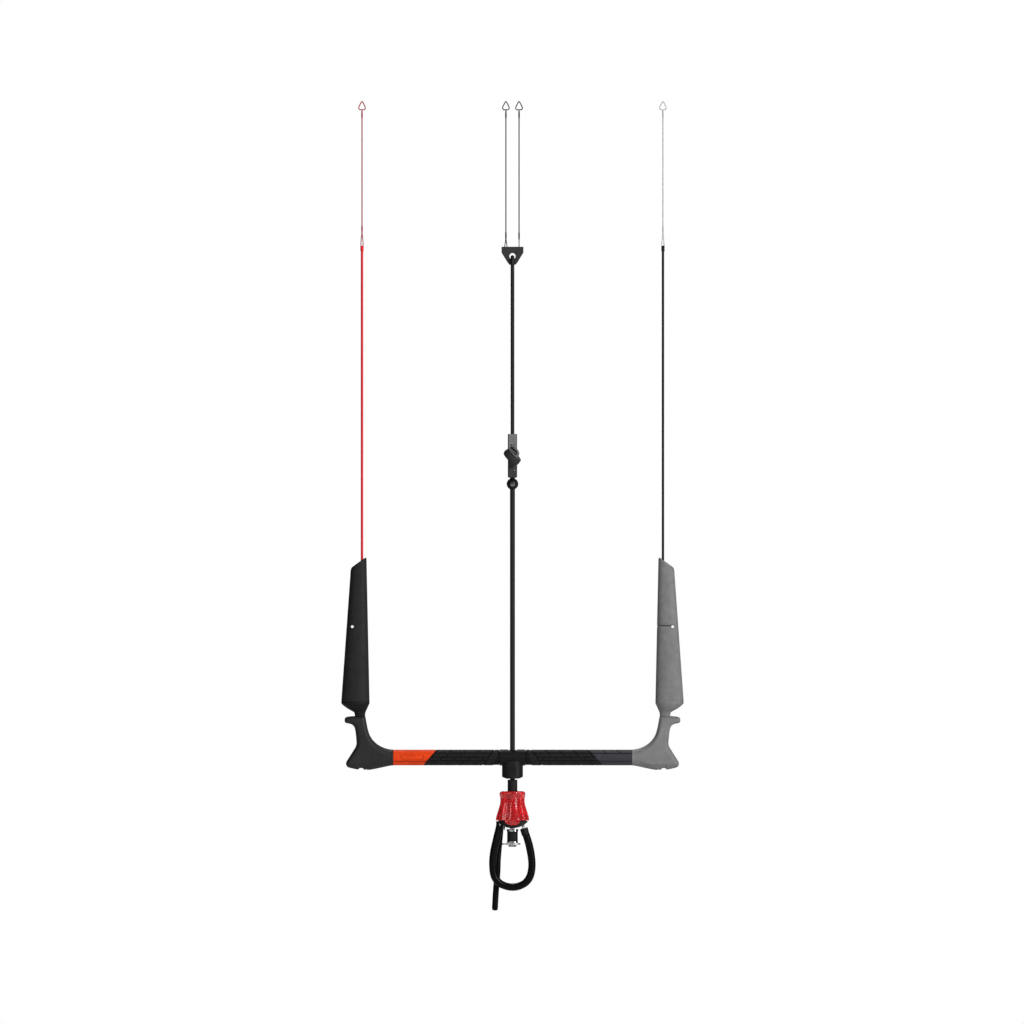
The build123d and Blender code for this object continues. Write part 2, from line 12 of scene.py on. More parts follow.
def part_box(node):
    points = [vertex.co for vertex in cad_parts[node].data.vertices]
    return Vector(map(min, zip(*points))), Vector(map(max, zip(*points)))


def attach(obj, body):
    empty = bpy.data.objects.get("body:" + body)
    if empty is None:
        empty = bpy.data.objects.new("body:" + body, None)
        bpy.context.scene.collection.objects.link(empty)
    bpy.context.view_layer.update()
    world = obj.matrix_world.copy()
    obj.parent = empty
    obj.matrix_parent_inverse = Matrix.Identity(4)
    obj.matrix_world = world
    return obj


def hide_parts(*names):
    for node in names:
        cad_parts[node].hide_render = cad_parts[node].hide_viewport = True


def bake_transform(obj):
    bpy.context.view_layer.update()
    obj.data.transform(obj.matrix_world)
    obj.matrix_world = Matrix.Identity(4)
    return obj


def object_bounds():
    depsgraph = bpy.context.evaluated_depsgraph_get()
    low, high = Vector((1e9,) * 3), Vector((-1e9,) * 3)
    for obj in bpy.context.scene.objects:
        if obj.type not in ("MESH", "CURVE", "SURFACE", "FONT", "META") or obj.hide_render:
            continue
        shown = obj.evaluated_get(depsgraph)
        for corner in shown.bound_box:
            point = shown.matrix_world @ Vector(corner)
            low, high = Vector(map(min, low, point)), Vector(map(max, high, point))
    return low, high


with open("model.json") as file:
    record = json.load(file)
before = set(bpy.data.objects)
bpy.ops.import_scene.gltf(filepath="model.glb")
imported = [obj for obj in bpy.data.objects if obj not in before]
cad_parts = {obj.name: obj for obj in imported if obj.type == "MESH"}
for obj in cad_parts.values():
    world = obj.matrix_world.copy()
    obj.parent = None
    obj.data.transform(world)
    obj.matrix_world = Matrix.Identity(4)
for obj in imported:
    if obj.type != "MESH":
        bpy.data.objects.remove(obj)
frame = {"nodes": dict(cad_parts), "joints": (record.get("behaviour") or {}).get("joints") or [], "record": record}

MM = 0.001
CAD_LOW, CAD_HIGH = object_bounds()


def joint_pos(name):
    return Vector(next(j for j in frame["joints"] if j["name"] == name)["pos_m"])


BAR_AXIS = joint_pos("bar_tilt")
GRIP_R = 13.25                    # grip radius in millimetres
GRIP_END = 201.7                  # where the grips meet the bar ends, in millimetres from the middle
VIEW_WIDTH = 1.7285               # what the camera's frame spans, in metres
CAMERA_SPOT = (-0.0008, -4.0, 0.6262)
LAMP_AIM = Vector((0, 0, 0.45))
FLOOR_GAP = 0.015                 # the floor lies this far under the lowest point
FLOOR_HALF = 4                    # half the floor's side
WHITE = (1, 1, 1, 1)
AMBIENT = 0.04                    # the world's strength for rays that light the object
LAMPS = (                         # name, place, size, watts
    ("key", (2.0, -2.6, 1.9), (0.7, 0.7), 96),
    ("fill", (-1.2, -3.0, 0.9), (0.9, 0.9), 10),
    ("top", (0.2, -0.3, 3.0), (1.0, 1.0), 8),
    ("rear", (-0.3, 2.2, 3.3), (1.0, 1.0), 50),
    ("strip_right", (2.1, -1.4, 0.4), (0.25, 2.0), 14),
    ("strip_left", (-2.2, -2.0, 0.6), (0.2, 2.0), 2),
)


# ---------------------------------------------------------------- camera, light and floor

def make_camera(scene):
    """Orthographic view straight from the front."""
    camera = bpy.data.objects.new("camera", bpy.data.cameras.new("camera"))
    camera.data.type = "ORTHO"
    camera.data.ortho_scale = VIEW_WIDTH
    camera.data.clip_end = 20
    camera.location = CAMERA_SPOT
    camera.rotation_euler = (math.pi / 2, 0, 0)
    scene.collection.objects.link(camera)
    scene.camera = camera


def make_world(scene):
    """White where the world itself is seen, directly or through the handle, and dim as a light source."""
    world = bpy.data.worlds.new("studio")
    world.use_nodes = True
    nodes, links = world.node_tree.nodes, world.node_tree.links
    shade = nodes["Background"]
    shade.inputs["Color"].default_value = WHITE
    shade.inputs["Strength"].default_value = AMBIENT
    white = nodes.new("ShaderNodeBackground")
    white.inputs["Color"].default_value = WHITE
    ray = nodes.new("ShaderNodeLightPath")
    seen = nodes.new("ShaderNodeMath")
    seen.operation = "MAXIMUM"
    links.new(ray.outputs["Is Camera Ray"], seen.inputs[0])
    links.new(ray.outputs["Is Transmission Ray"], seen.inputs[1])
    mix = nodes.new("ShaderNodeMixShader")
    links.new(seen.outputs["Value"], mix.inputs["Fac"])
    links.new(shade.outputs[0], mix.inputs[1])
    links.new(white.outputs[0], mix.inputs[2])
    links.new(mix.outputs[0], nodes["World Output"].inputs["Surface"])
    scene.world = world


def make_lamps(scene):
    for name, spot, size, power in LAMPS:
        lamp = bpy.data.objects.new(name, bpy.data.lights.new(name, "AREA"))
        lamp.data.shape = "RECTANGLE"
        lamp.data.size, lamp.data.size_y = size
        lamp.data.energy = power
        lamp.location = spot
        aim = LAMP_AIM - Vector(spot)
        lamp.rotation_euler = aim.to_track_quat("-Z", "Y").to_euler()
        scene.collection.objects.link(lamp)


def make_floor():
    z = CAD_LOW.z - FLOOR_GAP
    corners = [(x * FLOOR_HALF, y * FLOOR_HALF, z) for x, y in ((-1, -1), (1, -1), (1, 1), (-1, 1))]
    floor = mesh_object("floor", corners, [(0, 1, 2, 3)])
    floor.data.materials.append(plain_floor())


def make_stage():
    scene = bpy.context.scene
    scene.view_settings.view_transform = "Standard"
    make_camera(scene)
    make_world(scene)
    make_lamps(scene)
    make_floor()


# ---------------------------------------------------------------- mesh helpers

def mesh_object(name, verts, faces):
    mesh = bpy.data.meshes.new(name)
    mesh.from_pydata([tuple(v) for v in verts], [], faces)
    mesh.validate()
    made = bmesh.new()
    made.from_mesh(mesh)
    bmesh.ops.remove_doubles(made, verts=made.verts, dist=1e-6)
    bmesh.ops.recalc_face_normals(made, faces=made.faces)
    made.to_mesh(mesh)
    made.free()
    for polygon in mesh.polygons:
        polygon.use_smooth = True
    piece = bpy.data.objects.new(name, mesh)
    bpy.context.scene.collection.objects.link(piece)
    return piece


def from_rings(name, rings, closed=False):
    """Skin over rings of equally many points; open stacks are capped."""
    count = len(rings[0])
    verts = [p for ring in rings for p in ring]
    faces = []
    pairs = len(rings) if closed else len(rings) - 1
    for i in range(pairs):
        a, b = i * count, ((i + 1) % len(rings)) * count
        for k in range(count):
            n = (k + 1) % count
            faces.append((a + k, a + n, b + n, b + k))
    if not closed:
        faces.append(tuple(range(count)))
        faces.append(tuple(range(len(verts) - count, len(verts))))
    return mesh_object(name, verts, faces)


def tube(name, points, radius, sides=20, closed=False):
    """Round tube along points; radius is a number or a function of the share of the way."""
    points = [Vector(p) for p in points]
    count = len(points)
    size = radius if callable(radius) else (lambda t: radius)
    tangents = []
    for i in range(count):
        before = points[i - 1] if closed or i else points[0]
        after = points[(i + 1) % count] if closed or i < count - 1 else points[-1]
        tangents.append((after - before).normalized())
    side = tangents[0].orthogonal().normalized()
    rings = []
    for i, (point, tangent) in enumerate(zip(points, tangents)):
        side = (side - tangent * side.dot(tangent)).normalized()
        other = tangent.cross(side)
        r = size(i / (count - 1))
        rings.append([point + (side * math.cos(a) + other * math.sin(a)) * r
                      for a in (2 * math.pi * k / sides for k in range(sides))])
    return from_rings(name, rings, closed)


def smooth_path(points, per_span=8, closed=False):
    """Catmull-Rom curve through points."""
    points = [Vector(p) for p in points]
    count = len(points)
    spans = count if closed else count - 1
    pick = (lambda i: points[i % count]) if closed else (lambda i: points[max(0, min(count - 1, i))])
    path = []
    for i in range(spans):
        a, b, c, d = pick(i - 1), pick(i), pick(i + 1), pick(i + 2)
        for k in range(per_span):
            t = k / per_span
            path.append(0.5 * (2 * b + (c - a) * t + (2 * a - 5 * b + 4 * c - d) * t * t
                               + (3 * b - a - 3 * c + d) * t ** 3))
    if not closed:
        path.append(points[-1])
    return path


def apply_modifiers(piece):
    """Makes the piece's modifiers part of its mesh."""
    bpy.context.view_layer.update()
    graph = bpy.context.evaluated_depsgraph_get()
    mesh = bpy.data.meshes.new_from_object(piece.evaluated_get(graph))
    piece.modifiers.clear()
    piece.data = mesh


def cut(piece, *cutters):
    for cutter in cutters:
        boolean = piece.modifiers.new("cut", "BOOLEAN")
        boolean.operation = "DIFFERENCE"
        boolean.solver = "EXACT"
        boolean.object = cutter
    apply_modifiers(piece)
    for cutter in cutters:
        bpy.data.objects.remove(cutter)


def rounded_edges(piece, width):
    bevel = piece.modifiers.new("rounding", "BEVEL")
    bevel.width = width
    bevel.segments = 3
    bevel.limit_method = "ANGLE"
    bevel.angle_limit = math.radians(35)
    bevel.harden_normals = True


def finish_piece(piece, body, material, slot, *nodes):
    """Material, body and the CAD nodes that the piece stands for; the slot argument is not used."""
    piece.data.materials.clear()
    piece.data.materials.append(material)
    if nodes:
        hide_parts(*nodes)
    if body:
        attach(piece, body)


def smoothstep(low, high, x):
    t = np.clip((x - low) / (high - low), 0, 1)
    return t * t * (3 - 2 * t)


# ---------------------------------------------------------------- materials

def shader(name, colour, roughness, **inputs):
    """New material and its node tree, with constants on the shader's own sockets."""
    material = bpy.data.materials.new(name)
    material.use_nodes = True
    material.diffuse_color = (*colour, 1)
    principled = surface(material)
    principled.inputs["Base Color"].default_value = (*colour, 1)
    principled.inputs["Roughness"].default_value = roughness
    for key, value in inputs.items():
        principled.inputs[key.replace("_", " ")].default_value = value
    return material


def surface(material):
    return material.node_tree.nodes["Principled BSDF"]


def add(material, kind, **settings):
    node = material.node_tree.nodes.new(kind)
    for key, value in settings.items():
        if key in node.inputs:
            node.inputs[key].default_value = value
        else:
            setattr(node, key, value)
    return node


def link(material, source, target):
    material.node_tree.links.new(source, target)


def object_coordinates(material, scale=(1, 1, 1), rotation=(0, 0, 0)):
    place = add(material, "ShaderNodeTexCoord")
    mapping = add(material, "ShaderNodeMapping", Scale=scale, Rotation=rotation)
    link(material, place.outputs["Object"], mapping.inputs["Vector"])
    return mapping.outputs["Vector"]


def vary_colour(material, colour, amount, scale, stretch=(1, 1, 1)):
    """Base colour drifts between a darker and a lighter tone."""
    noise = add(material, "ShaderNodeTexNoise", Scale=scale, Detail=6.0, Roughness=0.6)
    link(material, object_coordinates(material, stretch), noise.inputs["Vector"])
    ramp = add(material, "ShaderNodeValToRGB")
    ramp.color_ramp.elements[0].position = 0.3
    ramp.color_ramp.elements[1].position = 0.72
    ramp.color_ramp.elements[0].color = (*[c * (1 - amount) for c in colour], 1)
    ramp.color_ramp.elements[1].color = (*[min(1, c * (1 + amount)) for c in colour], 1)
    link(material, noise.outputs["Fac"], ramp.inputs["Fac"])
    link(material, ramp.outputs["Color"], surface(material).inputs["Base Color"])
    return ramp


def vary_roughness(material, low, high, scale, stretch=(1, 1, 1)):
    """Handling marks: patches that are smoother or duller."""
    noise = add(material, "ShaderNodeTexNoise", Scale=scale, Detail=8.0, Roughness=0.65)
    link(material, object_coordinates(material, stretch), noise.inputs["Vector"])
    spread = add(material, "ShaderNodeMapRange")
    spread.inputs["From Min"].default_value = 0.3
    spread.inputs["From Max"].default_value = 0.7
    spread.inputs["To Min"].default_value = low
    spread.inputs["To Max"].default_value = high
    link(material, noise.outputs["Fac"], spread.inputs["Value"])
    link(material, spread.outputs["Result"], surface(material).inputs["Roughness"])


def bump(material, height, strength, distance):
    """Adds a bump on top of any that the material already has."""
    principled = surface(material)
    node = add(material, "ShaderNodeBump", Strength=strength, Distance=distance)
    link(material, height, node.inputs["Height"])
    if principled.inputs["Normal"].is_linked:
        link(material, principled.inputs["Normal"].links[0].from_socket, node.inputs["Normal"])
    link(material, node.outputs["Normal"], principled.inputs["Normal"])


def grain(material, scale, strength, distance=0.0002, stretch=(1, 1, 1)):
    noise = add(material, "ShaderNodeTexNoise", Scale=scale, Detail=4.0, Roughness=0.7)
    link(material, object_coordinates(material, stretch), noise.inputs["Vector"])
    bump(material, noise.outputs["Fac"], strength, distance)


def cells(material, scale, strength):
    """Closed-cell foam skin."""
    voronoi = add(material, "ShaderNodeTexVoronoi", Scale=scale)
    link(material, object_coordinates(material), voronoi.inputs["Vector"])
    bump(material, voronoi.outputs["Distance"], strength, 0.0002)


def braid(material, pitch):
    """Crossing strands of a rope or line that runs up and down."""
    heights = []
    for turn in (0.75, -0.75):
        wave = add(material, "ShaderNodeTexWave", Scale=1 / (pitch * 20), Distortion=0.4)
        wave.inputs["Detail Scale"].default_value = 2.0
        wave.bands_direction = "Z"
        link(material, object_coordinates(material, rotation=(0, turn, 0)), wave.inputs["Vector"])
        heights.append(wave.outputs["Fac"])
    both = add(material, "ShaderNodeMath", operation="MAXIMUM")
    link(material, heights[0], both.inputs[0])
    link(material, heights[1], both.inputs[1])
    bump(material, both.outputs["Value"], 0.7, 0.0004)


def plain_floor():
    material = shader("studio_floor", (0.86, 0.86, 0.86), 0.8)
    grain(material, 40, 0.05)
    return material


def moulded(name, colour, roughness=0.45, specks=900):
    """Injection-moulded nylon: fine spark texture, faint scuffs."""
    material = shader(name, colour, roughness, Specular_IOR_Level=0.2)
    vary_colour(material, colour, 0.14, 35)
    vary_roughness(material, roughness - 0.08, roughness + 0.12, 70)
    grain(material, specks, 0.45)
    grain(material, 60, 0.08, 0.0006)
    return material


def paint_groove_shade(material, ramp, painted_groove_shade):
    """Painted shade: a darker tone where the mesh's own groove attribute says that the surface is sunk."""
    sunk = add(material, "ShaderNodeAttribute", attribute_name="groove")
    mix = add(material, "ShaderNodeMix", data_type="RGBA")
    mix.inputs["B"].default_value = (*painted_groove_shade, 1)
    link(material, sunk.outputs["Fac"], mix.inputs["Factor"])
    link(material, ramp.outputs["Color"], mix.inputs["A"])
    link(material, mix.outputs["Result"], surface(material).inputs["Base Color"])


def foam(name, colour, roughness=0.72, painted_groove_shade=None):
    """EVA foam: matt closed cells, slightly mottled, with painted shade in the grooves when a groove shade is given.
    """
    material = shader(name, colour, roughness, Specular_IOR_Level=0.14)
    ramp = vary_colour(material, colour, 0.15, 90)
    if painted_groove_shade:
        paint_groove_shade(material, ramp, painted_groove_shade)
    vary_roughness(material, roughness - 0.1, roughness + 0.08, 40)
    cells(material, 800, 0.4)
    grain(material, 120, 0.15, 0.0005)
    return material


def rubber(name, colour, roughness=0.55):
    material = shader(name, colour, roughness, Specular_IOR_Level=0.22)
    vary_colour(material, colour, 0.15, 60)
    vary_roughness(material, roughness - 0.1, roughness + 0.15, 110)
    grain(material, 700, 0.25)
    return material


def polymer_tube(name, colour, roughness=0.32):
    """Extruded polyurethane jacket: drawn gloss with lengthwise streaks and slight waviness."""
    material = shader(name, colour, roughness, Specular_IOR_Level=0.12)
    vary_colour(material, colour, 0.12, 50, (1, 1, 0.2))
    vary_roughness(material, roughness - 0.06, roughness + 0.14, 120, (1, 1, 0.15))
    grain(material, 45, 0.25, 0.0008, (1, 1, 0.5))
    grain(material, 600, 0.1)
    return material


def steel(name, tone=0.62, roughness=0.28, stretch=(1, 1, 14)):
    material = shader(name, (tone, tone, tone * 1.01), roughness, Metallic=1.0)
    vary_colour(material, (tone, tone, tone), 0.05, 40)
    vary_roughness(material, roughness - 0.05, roughness + 0.09, 160, stretch)
    grain(material, 300, 0.05, 0.0001, stretch)
    return material


def rope(name, colour, pitch, roughness=0.7):
    material = shader(name, colour, roughness, Specular_IOR_Level=0.25)
    vary_colour(material, colour, 0.2, 500)
    braid(material, pitch)
    return material


def translucent_red():
    """Tinted moulded polycarbonate; the dark core shows through."""
    material = shader("handle_red", (0.92, 0.04, 0.05), 0.14, Transmission_Weight=0.72, IOR=1.3,
                      Coat_Weight=0.6, Coat_Roughness=0.06)
    vary_roughness(material, 0.08, 0.22, 90)
    grain(material, 80, 0.06, 0.0006)
    return material


def make_materials():
    return {
        "black_plastic": moulded("black_nylon", (0.006, 0.006, 0.0064), 0.42),
        "hub_plastic": moulded("hub_nylon", (0.0022, 0.0022, 0.0024), 0.55),
        "cover_plastic": moulded("cleat_cover_nylon", (0.032, 0.032, 0.033), 0.5),
        "plate_plastic": moulded("trim_plate_nylon", (0.03, 0.03, 0.031), 0.5, 420),
        "black_rubber": rubber("black_rubber", (0.004, 0.004, 0.0042)),
        "knob_rubber": rubber("knob_rubber", (0.02, 0.02, 0.021)),
        # Pale rubber for the ring on the knob's lip: a painted highlight.
        "knob_painted_highlight": rubber("knob_painted_highlight", (0.15, 0.15, 0.15)),
        "black_tube": polymer_tube("black_polyurethane", (0.0008, 0.0008, 0.0009)),
        "steel": steel("brushed_steel"),
        "bright_steel": steel("polished_steel", 0.8, 0.16, (1, 1, 3)),
        "alloy": steel("anodised_alloy", 0.22, 0.5, (8, 8, 1)),
        "bearing_plastic": moulded("bearing_acetal", (0.7, 0.7, 0.66), 0.35),
        "red_handle": translucent_red(),
        "throw_line_jacket": polymer_tube("throw_line_jacket", (0.016, 0.016, 0.0165), 0.36),
        "black_rope": rope("black_braid", (0.005, 0.005, 0.0053), 0.0022, 0.5),
        # Grey for the toggle's tail: a painted highlight on a rope that is black.
        "tail_rope": rope("tail_braid_painted_highlight", (0.13, 0.13, 0.13), 0.002, 0.6),
        "safety_rope": rope("red_braid", (0.5, 0.02, 0.03), 0.0012),
        # The third colour of the black, orange and slate foams is painted shade in the grips' grooves.
        "eva_black": foam("eva_black", (0.0105, 0.0105, 0.011), 0.66, (0.001, 0.001, 0.0011)),
        "float_black": foam("float_black", (0.0175, 0.0175, 0.018), 0.6),
        "eva_orange": foam("eva_orange", (0.76, 0.055, 0.005), 0.6, (0.16, 0.008, 0.002)),
        "eva_slate": foam("eva_slate", (0.04, 0.039, 0.048), 0.62, (0.003, 0.003, 0.006)),
        "eva_grey": foam("eva_grey", (0.17, 0.17, 0.172), 0.62),
        "end_dark": moulded("bar_end_charcoal", (0.0225, 0.0225, 0.0235), 0.5),
        "end_grey": moulded("bar_end_grey", (0.165, 0.165, 0.168), 0.5),
        "leader_red": rope("leader_red_braid", (0.72, 0.012, 0.03), 0.0016, 0.55),
        "leader_black": rope("leader_black_braid", (0.005, 0.005, 0.0053), 0.0016, 0.55),
        "line_red": rope("line_red_braid", (0.36, 0.008, 0.03), 0.0009, 0.5),
        "line_grey": rope("line_grey_braid", (0.42, 0.42, 0.43), 0.0009, 0.5),
        "line_black": rope("line_black_braid", (0.010, 0.010, 0.0105), 0.0009, 0.5),
    }


MATERIALS = make_materials()
make_stage()


# ---------------------------------------------------------------- flying lines and leaders

LINE_D = 2.0 * MM
LEADER_D = 4.2 * MM
SPLICE_R = 1.15 * MM
END_LOOP_HEIGHT = 14 * MM
LEADER_SINK = 22 * MM             # how far the leader's lower end lies below the float's highest point
STEERING_EYE = 26 * MM
FRONT_EYE = 17 * MM
KNOT_STEPS = 48                   # three turns


def taut_line(name, x, low, high, radius):
    """Straight line under tension, as one open spline."""
    curve = bpy.data.curves.new(name, "CURVE")
    curve.dimensions = "3D"
    curve.bevel_depth = radius
    curve.bevel_resolution = 5
    curve.use_fill_caps = True
    spline = curve.splines.new("NURBS")
    spline.points.add(2)
    for i, point in enumerate(spline.points):
        point.co = (x, 0, low + (high - low) * i / 2, 1)
    spline.order_u = 3
    spline.use_endpoint_u = True
    piece = bpy.data.objects.new(name, curve)
    bpy.context.scene.collection.objects.link(piece)
    return piece


def eye(name, x, low, high, half_width, radius, edge_on=False):
    """Spliced eye: the line opens into two strands that close round the bottom."""
    rise = high - low
    shape = [(0, 1.0), (-0.5, 0.72), (-0.9, 0.4), (-1.0, 0.18), (-0.6, 0.02),
             (0.6, 0.02), (1.0, 0.18), (0.9, 0.4), (0.5, 0.72)]
    across = (0, 1) if edge_on else (1, 0)
    path = [(x + half_width * u * across[0], half_width * u * across[1], low + rise * v) for u, v in shape]
    return tube(name, smooth_path(path, 6, closed=True), radius, 10, closed=True)


def whipping(name, x, low, high, radius):
    """Tapered bury of a splice, where the line lies inside itself."""
    path = [(x, 0, low + (high - low) * i / 12) for i in range(13)]
    return tube(name, path, lambda t: radius * (0.72 + 0.5 * math.sin(math.pi * min(1, t * 1.15)) ** 0.6), 14)


def flying_line(node, body, material, slot, low, eye_length, edge_on=False):
    """One flying line with its spliced eye below and its end loop above."""
    box_low, box_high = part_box(node)
    x = (box_low.x + box_high.x) / 2
    loop_low = box_high.z - END_LOOP_HEIGHT
    eye_high = low + eye_length
    line = taut_line(node + "_line", x, eye_high, loop_low, LINE_D / 2)
    pieces = [
        eye(node + "_eye", x, low, eye_high, 1.8 * MM, 0.8 * MM, edge_on),
        eye(node + "_end_loop", x, loop_low, box_high.z, 5.5 * MM, 0.95 * MM),
        whipping(node + "_splice_low", x, eye_high - 2 * MM, eye_high + 16 * MM, SPLICE_R),
        whipping(node + "_splice_high", x, loop_low - 16 * MM, loop_low + 1 * MM, SPLICE_R),
    ]
    for piece in pieces:
        finish_piece(piece, body, material, slot)
    finish_piece(line, body, material, slot, node)


def leader_line(node, body, material, slot, float_node):
    """Thick leader from the float's slanted top up to the flying line's eye."""
    box_low, box_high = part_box(node)
    x = (box_low.x + box_high.x) / 2
    top = box_high.z
    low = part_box(float_node)[1].z - LEADER_SINK
    leader = taut_line(node + "_cord", x, low, top, LEADER_D / 2)
    knot_path = []
    for i in range(KNOT_STEPS + 1):
        turn = 2 * math.pi * i / 16
        height = top - 7 * MM + 8 * MM * i / KNOT_STEPS
        knot_path.append((x + 1.6 * MM * math.cos(turn), 1.6 * MM * math.sin(turn), height))
    knot = tube(node + "_knot", knot_path, 1.5 * MM, 10)
    finish_piece(knot, body, material, slot)
    finish_piece(leader, body, material, slot, node)


def make_lines():
    leader_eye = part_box("leader_line_left")[1].z - 2 * MM
    plate_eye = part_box("trim_plate")[1].z - 4 * MM
    for side, colour in (("left", "red"), ("right", "black")):
        slot = "leader_" + colour
        leader_line("leader_line_" + side, "float_" + side, MATERIALS[slot], slot, "float_body_" + side)
    for side, slot in (("left", "line_red"), ("right", "line_grey")):
        flying_line("steering_line_" + side, "float_" + side, MATERIALS[slot], slot, leader_eye, STEERING_EYE)
    for side, edge_on in (("left", False), ("right", True)):
        slot = "line_black"
        flying_line("front_line_" + side, "trim_plate", MATERIALS[slot], slot, plate_eye, FRONT_EYE, edge_on)


make_lines()


# ---------------------------------------------------------------- bar ends

def bar_end_outline():
    """Side view of the left bar end as (x, z) in millimetres, from the top of the grip round to its bottom."""
    grip_x = -GRIP_END
    top = BAR_AXIS.z / MM + GRIP_R
    bottom = BAR_AXIS.z / MM - GRIP_R
    upper = [(grip_x, top), (-208.0, 225.9), (-216.0, 228.0), (-225.0, 232.2), (-233.5, 239.0), (-239.8, 247.5),
             (-243.4, 257.0), (-246.0, 268.5), (-248.3, 281.3)]
    horn = [(-249.2, 282.3), (-258.0, 282.4), (-266.0, 281.9), (-274.0, 281.3), (-280.0, 280.3), (-282.6, 278.2),
            (-283.4, 274.6), (-282.6, 271.2), (-280.0, 269.7), (-275.0, 268.8), (-270.4, 266.9), (-267.0, 263.0),
            (-265.3, 257.0), (-264.1, 247.0), (-263.3, 236.0), (-264.6, 230.2)]
    foot = [(-267.6, 225.0), (-273.5, 215.6), (-279.4, 206.2), (-280.9, 202.4), (-280.5, 198.6), (-277.6, 195.3),
            (-271.0, 193.4), (-262.4, 191.6), (-260.2, 191.7), (-258.6, 193.2), (-255.4, 194.0), (-252.4, 193.2),
            (-251.0, 191.5), (-249.4, 191.0), (-247.6, 191.2), (-247.0, 192.2), (-246.2, 191.3), (-242.0, 190.9),
            (-235.0, 191.9), (-222.0, 194.6), (-210.0, 197.2), (grip_x, bottom)]
    return [(p.x, p.y) for p in smooth_path([Vector((x, z)).to_3d() for x, z in upper + horn + foot], 5)]


def distance_to(points, segments_a, segments_b):
    """Distance from each point to the nearest of many segments."""
    best = np.full(len(points), 1e9)
    for a, b in zip(segments_a, segments_b):
        run = b - a
        share = np.clip(((points - a) @ run) / max(run @ run, 1e-12), 0, 1)
        best = np.minimum(best, np.linalg.norm(points - (a + share[:, None] * run), axis=1))
    return best


def inside(points, outline):
    hit = np.zeros(len(points), bool)
    for a, b in zip(outline, np.roll(outline, -1, axis=0)):
        crosses = (a[1] > points[:, 1]) != (b[1] > points[:, 1])
        with np.errstate(divide="ignore", invalid="ignore"):
            at = (b[0] - a[0]) * (points[:, 1] - a[1]) / (b[1] - a[1]) + a[0]
        hit ^= crosses & (points[:, 0] < at)
    return hit


def pillowed(name, outline, half_depth, rounding, cell):
    """Closed body over an X-Z outline whose edges round off towards both faces; sizes in millimetres.

    The outline runs from one end of a straight, square-cut edge round to its other end.
    """
    rim = np.array(outline, float)
    a, b = rim[:-1], rim[1:]
    run = np.roll(rim, -1, axis=0) - np.roll(rim, 1, axis=0)
    inward = np.stack([-run[:, 1], run[:, 0]], axis=1)
    inward /= np.linalg.norm(inward, axis=1)[:, None] + 1e-12
    middle = rim[len(rim) // 2]
    if not inside(np.array([middle + inward[len(rim) // 2] * 0.5]), rim)[0]:
        inward = -inward
    inner = []
    for step in (0.3, 0.9, 1.9, 3.2):
        row = rim + inward * step
        keep = inside(row, rim) & (distance_to(row, a, b) > step * 0.93)
        inner.append(row[keep][:: 1 if step < 1 else 2])
    low, high = rim.min(0), rim.max(0)
    columns, levels = np.arange(low[0], high[0], cell), np.arange(low[1], high[1], cell)
    grid = np.stack(np.meshgrid(columns, levels), -1).reshape(-1, 2)
    grid = grid[inside(grid, rim)]
    inner.append(grid[distance_to(grid, a, b) > 4.4])
    loop = np.concatenate([rim, np.linspace(rim[-1], rim[0], 26)[1:-1]])
    flat = np.concatenate([loop, *inner])
    edges = [(i, (i + 1) % len(loop)) for i in range(len(loop))]
    result = delaunay_2d_cdt([Vector(p) for p in flat], edges, [], 1, 1e-5)
    points = np.array([tuple(p) for p in result[0]])
    away = distance_to(points, a, b)
    depth = half_depth(points[:, 0], points[:, 1])
    reach = rounding(points[:, 0], points[:, 1])
    share = np.clip(away / reach, 0, 1)
    y = depth * np.sqrt(np.clip(1 - (1 - share) ** 2, 0, 1))
    y[away < 1e-4] = 0
    count = len(points)
    front = [(p[0] * MM, -h * MM, p[1] * MM) for p, h in zip(points, y)]
    back = [(x, -h, z) for x, h, z in front]
    faces = [tuple(f) for f in result[2]] + [tuple(i + count for i in reversed(f)) for f in result[2]]
    seam = [i for i in range(count) if abs(points[i][0] - rim[0][0]) < 1e-3]
    seam.sort(key=lambda i: points[i][1])
    faces.append(tuple(seam + [i + count for i in reversed(seam)]))
    return mesh_object(name, front + back, faces)


def mirrored(piece, name):
    """A copy of the piece on the other side of the bar."""
    mesh = piece.data.copy()
    mesh.transform(Matrix.Scale(-1, 4, (1, 0, 0)))
    mesh.flip_normals()
    made = bpy.data.objects.new(name, mesh)
    bpy.context.scene.collection.objects.link(made)
    return made


def axis_ring(x, radius, sides=96):
    """Ring round the bar's axis, in millimetres."""
    angles = [2 * math.pi * k / sides for k in range(sides)]
    return [(x * MM, radius * math.cos(a) * MM, BAR_AXIS.z + radius * math.sin(a) * MM) for a in angles]


